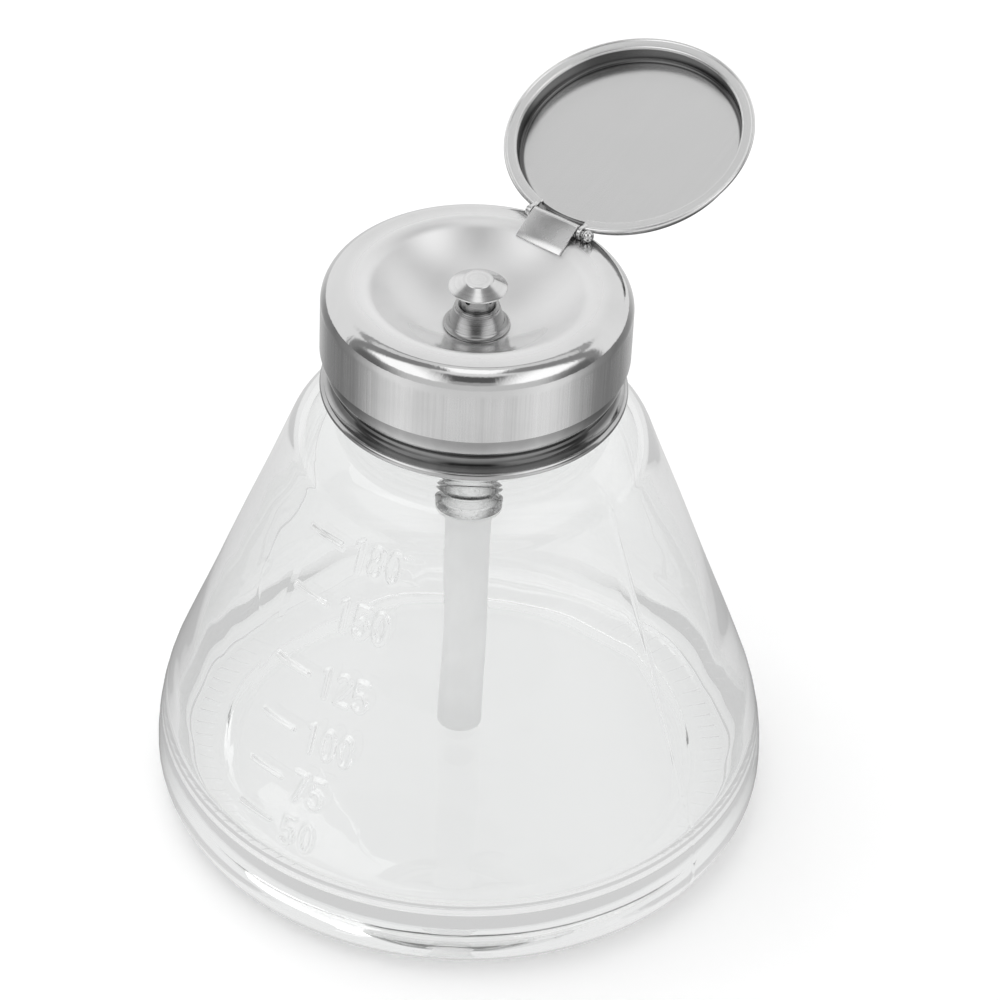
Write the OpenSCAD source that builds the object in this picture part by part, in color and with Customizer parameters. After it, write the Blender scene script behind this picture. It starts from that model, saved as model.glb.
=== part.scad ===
// Push-top liquid dispenser: a conical glass bottle, a pressed steel dish cap
// with a mushroom nozzle that is pushed down to well up liquid, and a round lid
// on a pin hinge at the back. The bottle axis is Z, the base stands on z = 0,
// and the hinge lies towards +Y. Drawn with the lid open on its stop.

/* [Bottle] */
// Widest radius of the bottle
bottle_r = 42.5; // [36:0.5:48]
// Height of the widest line above the base
heel_h = 5.2; // [4:0.2:7]
// Radius of the long curve above the widest line
heel_r = 32.5; // [28:0.5:34]
// Radius of the tuck below the widest line
tuck_r = 6.6; // [6:0.2:9]
// Radius on the outer edge of the foot
foot_edge_r = 0.9; // [0.6:0.1:1.2]
// Inner radius of the ring that the bottle stands on
ring_in_r = 33; // [28:0.5:34]
// Step at the inner edge of the standing ring
ring_step = 0.6; // [0.3:0.1:1]
// Rise of the underside at the axis above the step
underside_rise = 1.6; // [0.8:0.2:2]
// Glass wall
wall = 2.2; // [1.6:0.1:2.8]
// Height of the inner floor at its edge
floor_h = 6.2; // [5.4:0.2:8]
// Rise of the inner floor at the axis
floor_rise = 0.8; // [0.2:0.2:1.6]
// Radius of the inner floor's corner
floor_corner_r = 5; // [4:0.5:7]
// Height of the top of the shoulder
shoulder_h = 63.5; // [56:0.5:80]
// Radius of the shoulder
shoulder_r = 8.5; // [7:0.5:10]

/* [Neck] */
// Outer radius of the neck between its threads
neck_r = 15.7; // [14.5:0.1:16.5]
// Wall of the neck
neck_wall = 2.5; // [2:0.1:3]
// Height of the mouth above the shoulder
neck_h = 10.5; // [9.6:0.1:12]
// Fillet between the shoulder and the neck
neck_fillet_r = 1; // [0.6:0.1:1.4]
// Fillet from the inside of the shoulder to the bore
bore_fillet_r = 3; // [2:0.2:4]
// How far the ring under the thread stands out
neck_ring_out = 1.1; // [0.8:0.1:1.3]
// Height of the ring under the thread
neck_ring_h = 1.2; // [0.8:0.1:1.6]
// Depth of thread and play between the neck and the screw insert
thread_room = 1.2; // [1:0.1:1.5]

/* [Screw collar] */
// Wall of the plastic screw insert
insert_wall = 1.05; // [0.9:0.05:1.4]
// Thickness of the insert's top plate
insert_plate = 0.7; // [0.6:0.1:1]
// Thickness of the neck gasket
gasket_t = 0.8; // [0.6:0.1:1.2]
// Steel sheet of the collar
collar_sheet = 0.5; // [0.4:0.05:0.6]
// Radius of the collar's bead under the cap
bead_r = 1.4; // [1:0.1:1.8]
// Radius of the hollow between the bead and the rim
channel_r = 1.1; // [0.8:0.1:1.3]
// Radius of the rolled rim
rim_r = 0.55; // [0.4:0.05:0.6]
// Outer radius of the rolled rim
rim_out_r = 20.45; // [20:0.05:21]
// How far the collar stands up inside the cap above the bead's curve
collar_rise = 3.6; // [3:0.1:4]
// Gap from the shoulder of the glass to the rolled rim
rim_lift = 2.9; // [2.6:0.1:3.4]

/* [Dish cap] */
// Outer radius of the cap
cap_r = 20.5; // [20.2:0.1:21]
// Height of the cap from its lower edge to its lip
cap_h = 10.1; // [9.6:0.1:11]
// Steel sheet of the cap
cap_sheet = 0.6; // [0.5:0.05:0.7]
// Radius on the outer edge of the cap
cap_edge_r = 2.9; // [2.4:0.1:3.2]
// Inner radius of the flat lip
lip_in_r = 15.9; // [15.4:0.1:16.1]
// Rounding from the lip into the dish
lip_round_r = 3; // [2.6:0.1:3.3]
// Depth of the dish below the lip
dish_depth = 6.7; // [6.2:0.1:7.2]

/* [Nozzle] */
// Outer radius of the hollow stem
stem_r = 2.2; // [2:0.05:2.35]
// Bore of the stem
stem_bore_r = 0.8; // [0.6:0.05:0.9]
// Radius of the nozzle's rim
nozzle_r = 3.9; // [3.4:0.1:4.2]
// Radius of the nozzle's flat top
nozzle_top_r = 1.95; // [1.7:0.05:2.1]
// Height of the nozzle
nozzle_h = 1.45; // [1.2:0.05:1.7]
// Thickness of the nozzle's rim
nozzle_rim_t = 0.28; // [0.2:0.02:0.4]
// Height of the guide boss above the bottom of the dish
boss_h = 3.66; // [3.2:0.02:4.2]
// Outer radius of the boss at its top
boss_top_r = 2.95; // [2.85:0.05:3.05]
// Outer radius of the boss above its foot
boss_waist_r = 3.6; // [3.4:0.05:3.8]
// Outer radius of the foot of the boss
boss_foot_r = 4.4; // [4.1:0.05:4.6]
// Travel of the nozzle
stroke = 2.3; // [1.6:0.1:2.4]
// Gap left between the nozzle and the boss when it is pushed down
stroke_rest = 0.18; // [0.1:0.02:0.4]

/* [Pump] */
// Outer radius of the barrel
barrel_r = 4.3; // [4.1:0.05:4.6]
// Bore of the barrel
barrel_bore_r = 3.3; // [3.2:0.05:3.4]
// Length of the barrel
barrel_l = 27.2; // [26.6:0.2:29]
// Length of the boss's shank inside the barrel
shank_l = 3; // [2:0.2:4]
// Outer radius of the dip tube
tube_r = 3.1; // [2.9:0.05:3.4]
// Bore of the dip tube
tube_bore_r = 2.25; // [2.1:0.05:2.4]
// Gap from the inner floor to the end of the dip tube
tube_lift = 1.2; // [0.9:0.1:3]
// Radius of the inlet ball
inlet_ball_r = 1.3; // [1.2:0.05:1.4]
// Radius of the outlet ball
outlet_ball_r = 0.95; // [0.9:0.05:1]
// Lift of the inlet ball
inlet_lift = 0.75; // [0.5:0.05:0.8]
// Height of the piston
piston_h = 3.5; // [3:0.1:4]
// Length of the pump spring at rest
spring_l = 7.3; // [7:0.1:8]
// Mean radius of the spring's coils
coil_r = 2.5; // [2.3:0.05:2.6]
// Radius of the spring's wire
wire_r = 0.3; // [0.25:0.01:0.35]
// Number of turns of the spring
turns = 6; // [5:1:6]

/* [Lid and hinge] */
// Outer radius of the lid
lid_r = 17; // [16.6:0.1:17.2]
// Steel sheet of the lid
lid_sheet = 0.4; // [0.3:0.05:0.5]
// Width of the lid's flat rim
lid_rim_w = 1.6; // [1.3:0.1:1.9]
// Depth of the lid's hollow
lid_depth = 2.6; // [2.3:0.1:2.8]
// Radius of the corner of the lid's hollow
lid_corner_r = 2.1; // [1.6:0.1:2.3]
// Radius of the rolled edge of the lid
lid_roll_r = 0.3; // [0.25:0.01:0.35]
// Gap from the cap's lip to the closed lid's rim
lid_gap = 0.55; // [0.45:0.05:0.65]
// Opening angle of the lid in degrees
lid_open = 160.5; // [150:0.5:161]
// Radius of the hinge pin
pin_r = 0.46; // [0.4:0.02:0.5]
// Radius of the round head of the hinge pin
pin_head_r = 0.8; // [0.7:0.02:0.85]
// Thickness of the flattened end of the hinge pin
pin_end_t = 0.3; // [0.2:0.05:0.4]
// Steel sheet of the hinge leaf
leaf_sheet = 0.36; // [0.3:0.02:0.4]
// Width of the hinge leaf
leaf_w = 7.2; // [6:0.1:8]
// Straight end of the leaf inside the dish
leaf_run = 0.2; // [0.1:0.1:0.8]
// Thickness of the lid's ears
ear_t = 0.5; // [0.4:0.05:0.8]

/* [Fits] */
// Gap between pieces that are seated on each other
seat_gap = 0.05; // [0.03:0.01:0.08]
// Radial play of a turning or sliding fit
run_gap = 0.06; // [0.03:0.01:0.09]
// Play between the collar and what it holds
shell_gap = 0.1; // [0.05:0.01:0.15]
// Gap beside a moving part of the hinge
side_gap = 0.2; // [0.15:0.05:0.3]

/* [Hidden] */
$fn = 96;

// Points of an arc about c, from angle a to angle b
function arc(c, r, a, b, n = 12) =
    [for (i = [0 : n]) c + r * [cos(a + (b - a) * i / n), sin(a + (b - a) * i / n)]];
// Points of a path in reverse order
function back(p) = [for (i = [len(p) - 1 : -1 : 0]) p[i]];
// Direction at angle a
function dir(a) = [cos(a), sin(a)];
// Angle of the normal of the line that touches two circles on their outer side,
// where the second circle lies at the given offset from the first
function touch_angle(offset, r_first, r_second) =
    atan2(offset[1], offset[0]) - acos((r_first - r_second) / norm(offset));

// Bottle: centres of the heel curve and of the shoulder, and the cone's normal
heel_c = [bottle_r - heel_r, heel_h];
shoulder_c = [neck_r + neck_fillet_r, shoulder_h - shoulder_r];
cone_a = touch_angle(shoulder_c - heel_c, heel_r, shoulder_r);
tuck_c = [bottle_r - tuck_r, heel_h];
tuck_a = asin((heel_h - foot_edge_r) / tuck_r);
foot_r = tuck_c[0] + tuck_r * cos(tuck_a);
bore_r = neck_r - neck_wall;
mouth_z = shoulder_h + neck_h;
floor_c_z = floor_h + floor_corner_r;
inner_heel_r = heel_r - wall;
floor_c_r = heel_c[0] + sqrt(pow(inner_heel_r - floor_corner_r, 2) - pow(floor_c_z - heel_h, 2));
floor_a = atan2(floor_c_z - heel_h, floor_c_r - heel_c[0]);
neck_ring_z = shoulder_h + neck_fillet_r;

// Stack above the mouth, from the gasket to the bottom of the dish
gasket_z = mouth_z + seat_gap;
plate_z = gasket_z + gasket_t + seat_gap;
plate_top_z = plate_z + insert_plate;
dish_z = plate_top_z + shell_gap + cap_sheet;

// Dish: a round bowl that meets the rounding of the lip in one smooth line
lip_z = dish_z + dish_depth;
lip_c = [lip_in_r, lip_z - lip_round_r];
bowl_r = (pow(lip_in_r, 2) + pow(dish_depth, 2)) / (2 * dish_depth) - lip_round_r;
bowl_c = [0, dish_z + bowl_r];
bowl_a = atan2(lip_c[1] - bowl_c[1], lip_c[0]);
dish_slope = bowl_a + 90;
cap_low_z = lip_z - cap_h;

// Collar: a bead, a hollow and a rolled rim in one sheet
insert_bore_r = neck_r + thread_room;
insert_r = insert_bore_r + insert_wall;
rim_z = shoulder_h + rim_lift + rim_r;
bead_out_r = cap_r - cap_sheet - shell_gap;
bead_turn = 60;
channel_x = insert_r + shell_gap + collar_sheet + channel_r;
bead_c_x = bead_out_r - bead_r;
channel_c = [channel_x, rim_z + channel_r * 1.65];
bead_c = [bead_c_x, channel_c[1] + sqrt(pow(bead_r + channel_r, 2) - pow(channel_x - bead_c_x, 2))];
bead_a = atan2(channel_c[1] - bead_c[1], channel_c[0] - bead_c[0]);
collar_top_z = bead_c[1] + collar_rise;
insert_low_z = rim_z;

// Nozzle and pump heights
boss_foot_z = bowl_c[1] - sqrt(pow(bowl_r, 2) - pow(boss_foot_r, 2)) + seat_gap / 2;
boss_top_z = dish_z + boss_h;
head_z = boss_top_z + stroke + stroke_rest;
head_top_z = head_z + nozzle_h;
shank_r = barrel_bore_r - shell_gap;
barrel_top_z = plate_z - seat_gap;
barrel_low_z = barrel_top_z - barrel_l;
barrel_flange_r = barrel_r + 1.3;
barrel_flange_t = 0.75;
shank_low_z = barrel_top_z - shank_l;
hole_r = barrel_bore_r;

// Valve at the foot of the barrel
seat_slope = 0.94;
seat_a = atan(seat_slope);
plug_r = barrel_bore_r - shell_gap;
plug_h = 3.2;
plug_flange_t = 0.75;
plug_top_z = barrel_low_z + plug_h;
inlet_r = inlet_ball_r * 0.6;
nipple_bore_r = 0.9;
nipple_l = 6.7;
guide_r = inlet_ball_r + 0.45;
inlet_seat_z = plug_top_z - 2;
inlet_ball_z = inlet_seat_z - inlet_r / seat_slope + inlet_ball_r / sin(seat_a) + 0.02;
cage_t = 0.6;
cage_z = inlet_ball_z + inlet_ball_r + inlet_lift + seat_gap;
cage_ring_r = guide_r + 0.6;
spring_z = cage_z + cage_t + seat_gap;
tube_z = floor_h + floor_rise + tube_lift;
tube_top_z = barrel_low_z - plug_flange_t - seat_gap * 2;

// Piston, its seal and the outlet valve in its top
piston_z = spring_z + spring_l + seat_gap;
piston_r = barrel_bore_r - run_gap;
socket_h = 1.5;
stem_low_z = piston_z + piston_h - socket_h;
outlet_r = outlet_ball_r * 0.62;
chamber_r = outlet_ball_r + 0.25;
outlet_seat_z = stem_low_z - (chamber_r - outlet_r) / seat_slope;
outlet_ball_z = outlet_seat_z - outlet_r / seat_slope + outlet_ball_r / sin(seat_a) + 0.02;
chamber_h = 2.2;
seal_r = 0.45;
seal_z = piston_z + 0.95;
seal_ring_r = piston_r - seal_r + 0.02;
cross_hole_r = 0.45;

// Hinge: the pin lies over the lip, and the leaf wraps it and ends in the dish.
// The straight leaf meets the round lip at its two sides, about leaf_c
curl_in_r = pin_r + seat_gap;
curl_r = curl_in_r + leaf_sheet;
hinge_y = lid_r;
hinge_z = lip_z + curl_r + seat_gap;
hinge_p = [hinge_y, hinge_z];
leaf_in_r = lip_round_r + 0.08;
leaf_c = [sqrt(pow(lip_in_r, 2) - pow(leaf_w / 2, 2)), lip_c[1]];
leaf_off = hinge_p - leaf_c;
leaf_a = atan2(leaf_off[1], leaf_off[0]) + acos((leaf_in_r - curl_in_r) / norm(leaf_off));
ear_x = leaf_w / 2 + side_gap;
lid_z = lip_z + lid_gap;
pin_head_x = ear_x + ear_t + side_gap / 2 + pin_head_r;
pin_end_x = ear_x + ear_t + side_gap / 2 + pin_end_t;
pin_end_r = pin_r + 0.22;
ear_hole_r = pin_r + run_gap;

// Outer outline of the bottle, from the foot up to the ring under the thread
function bottle_outside() = concat(
    arc([foot_r - foot_edge_r, foot_edge_r], foot_edge_r, -90, 0, 4),
    arc(tuck_c, tuck_r, -tuck_a, 0, 8),
    arc(heel_c, heel_r, 0, cone_a, 10),
    arc(shoulder_c, shoulder_r, cone_a, 90, 14),
    arc([neck_r + neck_fillet_r, neck_ring_z], neck_fillet_r, -90, -180, 5));

// Inner outline of the bottle, from the bore down to the inner floor's edge
function bottle_inside() = concat(
    arc([bore_r + bore_fillet_r, shoulder_h - wall + bore_fillet_r], bore_fillet_r, 180, 270, 6),
    arc(shoulder_c, shoulder_r - wall, 90, cone_a, 12),
    arc(heel_c, inner_heel_r, cone_a, floor_a, 4),
    arc([floor_c_r, floor_c_z], floor_corner_r, floor_a, -90, 10));

module glass_bottle() {
    floor_line = [for (i = [1 : 12]) let (k = 1 - i / 12)
        [floor_c_r * k, floor_h + floor_rise * (1 - k * k)]];
    under_line = [for (i = [0 : 11]) let (k = i / 11)
        [(ring_in_r - ring_step) * k, ring_step + underside_rise * (1 - k * k)]];
    mouth_r = 0.7;
    color("gainsboro", 0.4)
    rotate_extrude()
        polygon(concat(
            under_line,
            [[ring_in_r, 0]],
            bottle_outside(),
            [[neck_r, neck_ring_z + 0.2],
             [neck_r + neck_ring_out, neck_ring_z + 0.5],
             [neck_r + neck_ring_out, neck_ring_z + 0.5 + neck_ring_h],
             [neck_r, neck_ring_z + 0.8 + neck_ring_h]],
            arc([neck_r - mouth_r, mouth_z - mouth_r], mouth_r, 0, 90, 4),
            arc([bore_r + mouth_r, mouth_z - mouth_r], mouth_r, 90, 180, 4),
            bottle_inside(),
            floor_line));
}

module neck_gasket() {
    color("whitesmoke")
    translate([0, 0, gasket_z])
        difference() {
            cylinder(r = neck_r + 0.3, h = gasket_t);
            translate([0, 0, -1]) cylinder(r = bore_r - 0.3, h = gasket_t + 2);
        }
}

module thread_insert() {
    skirt_h = plate_z - insert_low_z;
    color("white")
    translate([0, 0, insert_low_z])
        difference() {
            cylinder(r = insert_r, h = skirt_h + insert_plate);
            translate([0, 0, -1]) cylinder(r = insert_bore_r, h = skirt_h + 1);
            cylinder(r = hole_r, h = skirt_h + insert_plate + 1);
        }
}

// One face of the collar's sheet, from its top down to the rolled rim
function collar_path(inset) = concat(
    [[bead_out_r - inset, collar_top_z]],
    arc(bead_c, bead_r - inset, 0, bead_a, 10),
    arc(channel_c, channel_r + inset, bead_a + 180, 255, 14));

module screw_collar() {
    roll = arc([rim_out_r - rim_r, rim_z], rim_r, 100, -200, 20);
    color("silver")
    rotate_extrude()
        polygon(concat(collar_path(0), roll, back(collar_path(collar_sheet))));
}

// One face of the cap's sheet, from the lower edge over the lip to the bowl's hole
function cap_path(inset) = concat(
    [[cap_r - inset, cap_low_z]],
    arc([cap_r - cap_edge_r, lip_z - cap_edge_r], cap_edge_r - inset, 0, 90, 14),
    arc(lip_c, lip_round_r - inset, 90, 90 + dish_slope, 8),
    arc(bowl_c, bowl_r + inset, bowl_a, -acos(hole_r / (bowl_r + inset)), 16));

module dish_cap() {
    color("lightgray")
    rotate_extrude()
        polygon(concat(cap_path(0), back(cap_path(cap_sheet))));
}

module guide_boss() {
    flare_r = boss_foot_r - boss_waist_r;
    foot_t = 0.14;
    bore = stem_r + run_gap;
    lead = 0.25;
    color("darkgray")
    rotate_extrude()
        polygon(concat(
            [[bore, shank_low_z], [shank_r, shank_low_z], [shank_r, boss_foot_z],
             [boss_foot_r, boss_foot_z]],
            arc([boss_foot_r, boss_foot_z + foot_t + flare_r], flare_r, -90, -180, 6),
            [[boss_top_r + 0.12, boss_top_z - 0.55], [boss_top_r - 0.08, boss_top_z - 0.4],
             [boss_top_r, boss_top_z - 0.25], [boss_top_r - 0.1, boss_top_z],
             [bore + lead, boss_top_z], [bore, boss_top_z - lead]]));
}

module pump_barrel() {
    vent_r = 0.6;
    color("silver")
    difference() {
        union() {
            translate([0, 0, barrel_low_z]) cylinder(r = barrel_r, h = barrel_l);
            translate([0, 0, barrel_top_z - barrel_flange_t])
                cylinder(r = barrel_flange_r, h = barrel_flange_t);
        }
        translate([0, 0, barrel_low_z - 1]) cylinder(r = barrel_bore_r, h = barrel_l + 2);
        translate([0, 0, shank_low_z - 1.5]) rotate([90, 0, 0]) cylinder(r = vent_r, h = barrel_r + 1, $fn = 24);
    }
}

module barrel_end() {
    nipple_r = tube_bore_r - seat_gap;
    flange_z = barrel_low_z - plug_flange_t - seat_gap;
    color("silver")
    rotate_extrude()
        polygon([[nipple_bore_r, flange_z - nipple_l], [nipple_r - 0.3, flange_z - nipple_l],
                 [nipple_r, flange_z - nipple_l + 0.6], [nipple_r, flange_z],
                 [barrel_r, flange_z], [barrel_r, flange_z + plug_flange_t],
                 [plug_r, flange_z + plug_flange_t], [plug_r, plug_top_z],
                 [guide_r, plug_top_z],
                 [guide_r, inlet_seat_z + (guide_r - inlet_r) / seat_slope],
                 [inlet_r, inlet_seat_z], [inlet_r, inlet_seat_z - 0.6],
                 [nipple_bore_r, inlet_seat_z - 0.8]]);
}

module dip_tube() {
    color("white", 0.7)
    translate([0, 0, tube_z])
        difference() {
            cylinder(r = tube_r, h = tube_top_z - tube_z);
            translate([0, 0, -1]) cylinder(r = tube_bore_r, h = tube_top_z - tube_z + 2);
        }
}

module ball_cage() {
    port_r = 0.6;
    ports = 6;
    color("silver")
    difference() {
        translate([0, 0, plug_top_z + seat_gap])
            cylinder(r = plug_r, h = cage_z + cage_t - plug_top_z - seat_gap);
        translate([0, 0, plug_top_z - 1]) cylinder(r = cage_ring_r, h = cage_z - plug_top_z + 1);
        for (i = [0 : ports - 1])
            rotate([0, 0, i * 360 / ports]) translate([(cage_ring_r + port_r) / 2, 0, cage_z - 1])
                cylinder(r = port_r, h = cage_t + 2, $fn = 24);
    }
}

module inlet_ball() {
    color("lightsteelblue") translate([0, 0, inlet_ball_z]) sphere(r = inlet_ball_r, $fn = 48);
}

module outlet_ball() {
    color("lightsteelblue") translate([0, 0, outlet_ball_z]) sphere(r = outlet_ball_r, $fn = 48);
}

// The spring is one tube along a helix with closed turns at both ends
module pump_spring() {
    sides = 8;
    per_turn = 18;
    steps = turns * per_turn;
    lie = wire_r * 2.15;
    open_pitch = (spring_l - 2 * wire_r - 2 * lie) / (turns - 2);
    function height(t) = wire_r + (t < 1 ? t * lie
        : t > turns - 1 ? lie + (turns - 2) * open_pitch + (t - turns + 1) * lie
        : lie + (t - 1) * open_pitch);
    rings = [for (i = [0 : steps]) let (t = i / per_turn, a = t * 360)
        [for (k = [0 : sides - 1]) let (b = k * 360 / sides, r = coil_r + wire_r * cos(b))
            [r * cos(a), r * sin(a), height(t) + wire_r * sin(b)]]];
    points = [for (ring = rings) each ring];
    sleeve = [for (i = [0 : steps - 1], k = [0 : sides - 1])
        let (n = (k + 1) % sides, p = i * sides)
        each [[p + k, p + n, p + sides + n], [p + k, p + sides + n, p + sides + k]]];
    caps = [[for (k = [sides - 1 : -1 : 0]) k], [for (k = [0 : sides - 1]) steps * sides + k]];
    color("silver") translate([0, 0, spring_z]) polyhedron(points, concat(sleeve, caps));
}

module piston() {
    socket_r = stem_r + seat_gap;
    color("ivory")
    difference() {
        rotate_extrude()
            polygon([[outlet_r, piston_z], [piston_r, piston_z],
                     [piston_r, piston_z + piston_h], [socket_r, piston_z + piston_h],
                     [socket_r, stem_low_z - seat_gap], [chamber_r, stem_low_z - seat_gap],
                     [outlet_r, outlet_seat_z]]);
        translate([0, 0, seal_z - seal_r - seat_gap])
            difference() {
                cylinder(r = piston_r + 1, h = 2 * (seal_r + seat_gap));
                translate([0, 0, -1]) cylinder(r = piston_r - 2 * seal_r - seat_gap, h = 3);
            }
    }
}

module piston_seal() {
    color("black")
    translate([0, 0, seal_z])
        rotate_extrude() translate([seal_ring_r, 0]) circle(r = seal_r, $fn = 32);
}

module nozzle_stem() {
    color("lightgray")
    difference() {
        rotate_extrude()
            polygon([[chamber_r, stem_low_z], [stem_r, stem_low_z], [stem_r, head_z - seat_gap],
                     [stem_bore_r, head_z - seat_gap], [stem_bore_r, stem_low_z + chamber_h],
                     [chamber_r, stem_low_z + chamber_h - 0.3]]);
        for (a = [0, 90])
            translate([0, 0, head_z - 1]) rotate([90, 0, a])
                translate([0, 0, -stem_r - 1]) cylinder(r = cross_hole_r, h = 2 * stem_r + 2, $fn = 24);
    }
}

module nozzle_head() {
    brim = [nozzle_r - 0.08, head_z + nozzle_rim_t];
    crown = [nozzle_top_r + 0.12, head_top_z - 0.1];
    sag = 0.14;
    spigot_r = stem_bore_r - seat_gap;
    spigot_l = 0.45;
    color("whitesmoke")
    rotate_extrude()
        polygon(concat(
            [[0, head_z - spigot_l], [spigot_r, head_z - spigot_l], [spigot_r, head_z],
             [nozzle_r - 0.1, head_z], [nozzle_r, head_z + 0.1],
             [nozzle_r, brim[1] - 0.06]],
            [for (i = [0 : 6]) let (u = i / 6)
                brim + u * (crown - brim) - [0, sag * 4 * u * (1 - u)]],
            [[nozzle_top_r, head_top_z], [0, head_top_z]]));
}

module hinge_leaf() {
    end_a = 90 + dish_slope;
    function face(r_lip) = concat(
        arc(leaf_c, r_lip, leaf_a, end_a, 6),
        [leaf_c + r_lip * dir(end_a) - leaf_run * dir(dish_slope)]);
    color("silver")
    translate([-leaf_w / 2, 0, 0]) rotate([90, 0, 90]) linear_extrude(leaf_w)
        difference() {
            union() {
                translate(hinge_p) circle(r = curl_r);
                polygon(concat([hinge_p, hinge_p + curl_r * dir(leaf_a)],
                    face(leaf_in_r + leaf_sheet), back(face(leaf_in_r)),
                    [hinge_p + curl_in_r * dir(leaf_a)]));
            }
            translate(hinge_p) circle(r = curl_in_r);
        }
}

module hinge_pin() {
    color("silver")
    translate([-pin_end_x, hinge_y, hinge_z]) rotate([0, 90, 0]) {
        cylinder(r = pin_r, h = pin_end_x + pin_head_x);
        cylinder(r = pin_end_r, h = pin_end_t);
        translate([0, 0, pin_end_x + pin_head_x]) sphere(r = pin_head_r);
    }
}

// The lid is drawn shut, and lid() turns it about the pin to its open rest
module lid_shut() {
    top_z = lid_z + lid_sheet + lid_depth;
    wall_r = lid_r - lid_rim_w;
    notch_x = ear_x - 0.1;
    notch_h = hinge_z + curl_r - lid_z - 0.45;
    module ear(x) {
        translate([x, 0, 0]) rotate([90, 0, 90]) linear_extrude(ear_t)
            difference() {
                union() {
                    translate(hinge_p) circle(r = curl_r);
                    polygon([[hinge_y - 1.4, lid_z], [hinge_y, hinge_z - curl_r],
                             [hinge_y, hinge_z + curl_r], [hinge_y - 1.4, lid_z + 1]]);
                }
                translate(hinge_p) circle(r = ear_hole_r);
            }
    }
    difference() {
        rotate_extrude() {
            polygon(concat(
                [[0, top_z], [0, top_z - lid_sheet]],
                arc([wall_r - lid_corner_r, top_z - lid_corner_r], lid_corner_r - lid_sheet, 90, 0, 6),
                [[wall_r - lid_sheet, lid_z], [lid_r - lid_roll_r, lid_z],
                 [lid_r - lid_roll_r, lid_z + lid_sheet], [wall_r, lid_z + lid_sheet]],
                arc([wall_r - lid_corner_r, top_z - lid_corner_r], lid_corner_r, 0, 90, 8)));
            translate([lid_r - lid_roll_r, lid_z + lid_sheet / 2]) circle(r = lid_roll_r, $fn = 32);
        }
        translate([-notch_x, hinge_y - lid_rim_w - 2, lid_z - 1]) cube([2 * notch_x, 6, 1 + notch_h]);
    }
    ear(ear_x);
    ear(-ear_x - ear_t);
}

module lid() {
    color("lightgray")
    translate([0, hinge_y, hinge_z]) rotate([-lid_open, 0, 0]) translate([0, -hinge_y, -hinge_z])
        lid_shut();
}

glass_bottle();
neck_gasket();
thread_insert();
screw_collar();
dish_cap();
guide_boss();
pump_barrel();
barrel_end();
dip_tube();
ball_cage();
inlet_ball();
pump_spring();
piston();
piston_seal();
outlet_ball();
nozzle_stem();
nozzle_head();
hinge_leaf();
hinge_pin();
lid();
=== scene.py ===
"""Looks of the push-top dispenser bottle: glass, steel cap, pump and hinged lid."""
import math

import bmesh
import bpy
import numpy as np
from mathutils import Matrix, Vector


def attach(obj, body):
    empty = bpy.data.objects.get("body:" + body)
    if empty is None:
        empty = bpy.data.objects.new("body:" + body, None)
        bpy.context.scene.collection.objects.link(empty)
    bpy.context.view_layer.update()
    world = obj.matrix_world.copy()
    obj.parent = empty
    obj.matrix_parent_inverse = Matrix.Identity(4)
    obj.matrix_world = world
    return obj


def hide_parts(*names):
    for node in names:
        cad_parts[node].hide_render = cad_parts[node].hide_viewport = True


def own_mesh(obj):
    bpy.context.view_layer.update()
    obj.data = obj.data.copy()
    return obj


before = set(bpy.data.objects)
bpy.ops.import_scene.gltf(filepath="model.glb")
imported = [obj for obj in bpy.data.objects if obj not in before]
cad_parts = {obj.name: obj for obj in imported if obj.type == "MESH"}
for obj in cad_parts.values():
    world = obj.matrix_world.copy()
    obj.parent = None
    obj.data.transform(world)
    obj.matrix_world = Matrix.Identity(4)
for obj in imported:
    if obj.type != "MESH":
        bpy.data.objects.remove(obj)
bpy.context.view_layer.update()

MM = 0.001

# Sizes of the solids, in millimetres.
bottle_r, heel_h, heel_r, tuck_r, foot_edge_r = 42.5, 5.2, 32.5, 6.6, 0.9
ring_in_r, ring_step, underside_rise = 33.0, 0.6, 1.6
wall, floor_h, floor_rise, floor_corner_r = 2.2, 6.2, 0.8, 5.0
shoulder_h, shoulder_r, neck_r = 63.5, 8.5, 15.7
neck_fillet_r, bore_fillet_r, neck_ring_out, neck_ring_h = 1.0, 3.0, 1.1, 1.2
mouth_r, thread_pitch = 0.7, 3.0
cap_r, cap_sheet, cap_edge_r, lip_in_r, lip_round_r = 20.5, 0.6, 2.9, 15.9, 3.0
dish_slope, bowl_r, bowl_z = 45.6995, 19.2164, 95.5164
lip_z, cap_low_z, hole_r = 83.0, 72.9, 3.3
rim_z, rim_r, rim_out_r = 66.95, 0.55, 20.45
bead_c, bead_r = np.array([18.4, 70.93]), 1.4
channel_c, channel_r, collar_sheet, collar_top_z = np.array([19.65, 68.765]), 1.1, 0.5, 74.53
hinge_y, hinge_z = 17.0, 83.92
pin_r, pin_head_r, pin_head_x, pin_end_r, pin_end_x, pin_end_t = 0.46, 0.8, 5.2, 0.68, 4.7, 0.3
curl_in_r, curl_r, leaf_w, ear_x, ear_t = 0.51, 0.87, 7.2, 3.8, 0.5
lid_r, lid_sheet, lid_rim_w, lid_depth, lid_corner_r, lid_roll_r = 17.0, 0.4, 1.35, 2.6, 0.9, 0.3
lid_z, lid_open = 83.55, 160.5
curl_turn, ear_reach, fit_gap, thin_edge = 338, 1.4, 0.06, 0.06
boss_top_z, boss_foot_z, head_z, head_top_z = 79.96, 76.8355, 82.44, 83.89
shank_r, shank_low_z = 3.2, 71.85
stem_r, stem_bore_r, stem_low_z = 2.2, 0.8, 62.038
barrel_r, barrel_bore_r, barrel_low_z, barrel_top_z = 4.3, 3.3, 47.65, 74.85
flange_r, flange_t, plug_r, nipple_r, nipple_low = 5.6, 0.75, 4.3, 2.2, 6.7
spring_z, spring_length, press_travel = 52.6883, 7.3, 2.3
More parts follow.
